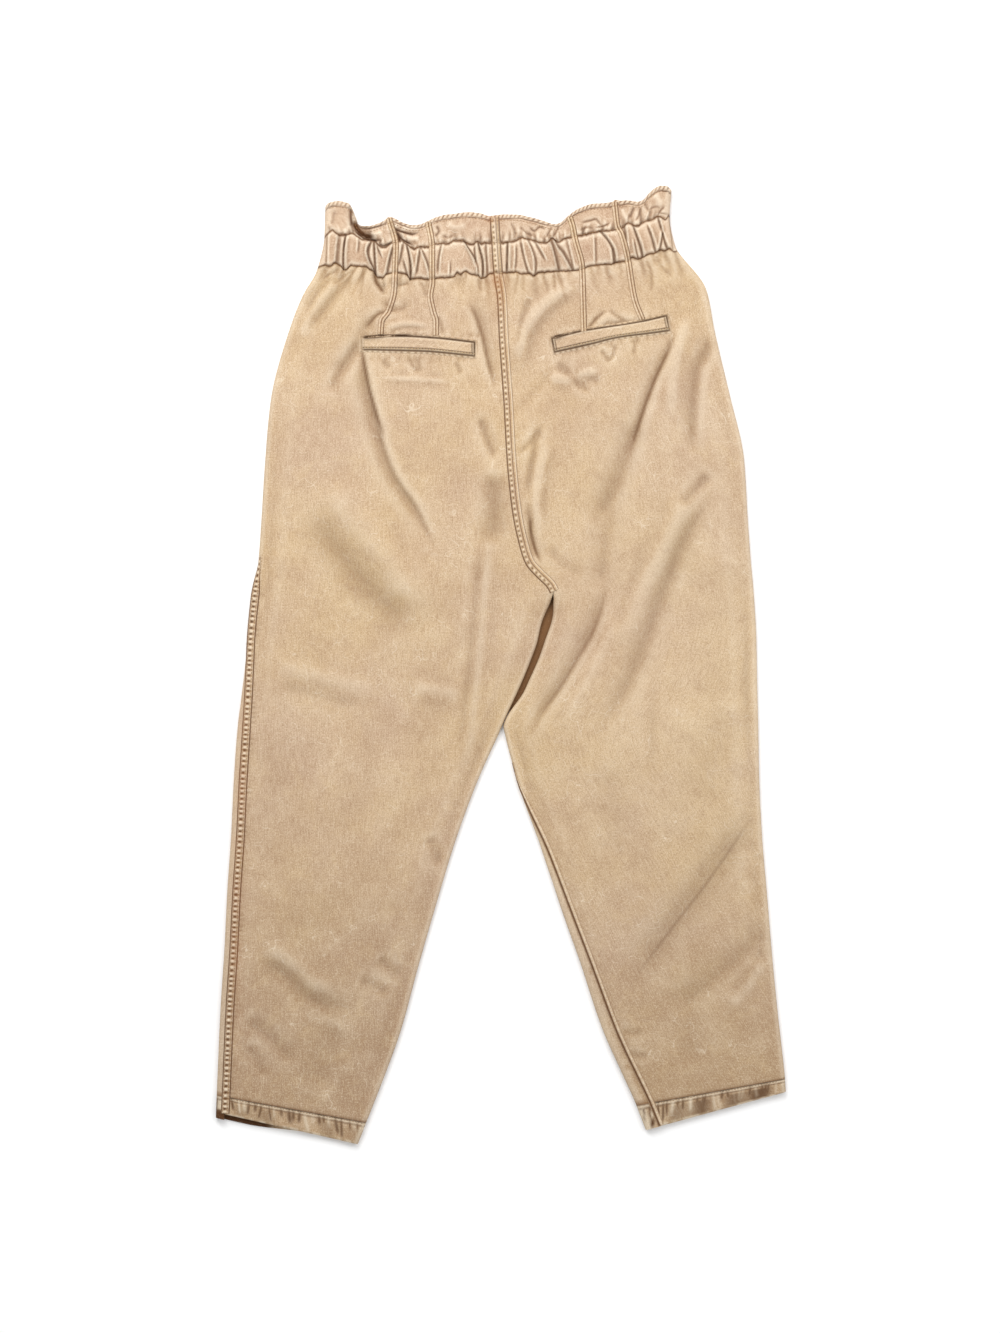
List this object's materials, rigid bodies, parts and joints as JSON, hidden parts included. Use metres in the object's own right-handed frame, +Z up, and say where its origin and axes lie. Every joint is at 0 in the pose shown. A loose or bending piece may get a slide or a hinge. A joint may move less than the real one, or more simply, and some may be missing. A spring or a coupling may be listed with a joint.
{
  "type": "paperbag waist trousers",
  "caption": "Tapered trousers laid flat with the back up: a gathered waist with a ruffled heading, a curved seat seam, tucks, welt pockets and plain hems.",
  "frame": {"origin": "middle of the trousers' box, on the flat underside", "axes": "+Y towards the waist, +X across to the wearer's right as laid with the back up, +Z up from the surface"},
  "size_m": [0.5972, 1.003, 0.0125],
  "materials": {
    "cloth": "washed cotton twill, soft and matt",
    "waist_cloth": "the same twill gathered at the waist, a little pinker",
    "seams": "felled seams and tucks, rubbed pale on their ridges",
    "hem_cloth": "turned hems, puckered and a little darker"
  },
  "bodies": {
    "root": {"back_left": "cloth", "back_right": "cloth", "casing_back_left": "waist_cloth", "casing_back_right": "waist_cloth", "casing_front_left": "waist_cloth", "casing_front_right": "waist_cloth", "centre_back_seam": "seams", "dart_left_inner": "seams", "dart_left_outer": "seams", "dart_right_inner": "seams", "dart_right_outer": "seams", "front_left": "cloth", "front_right": "cloth", "heading_back_left": "waist_cloth", "heading_back_right": "waist_cloth", "heading_front_left": "waist_cloth", "heading_front_right": "waist_cloth", "hem_back_left": "hem_cloth", "hem_back_right": "hem_cloth", "hem_front_left": "hem_cloth", "hem_front_right": "hem_cloth", "inseam_right": "seams", "outseam_left": "seams", "welt_left": "cloth", "welt_right": "cloth"}
  },
  "joints": []
}
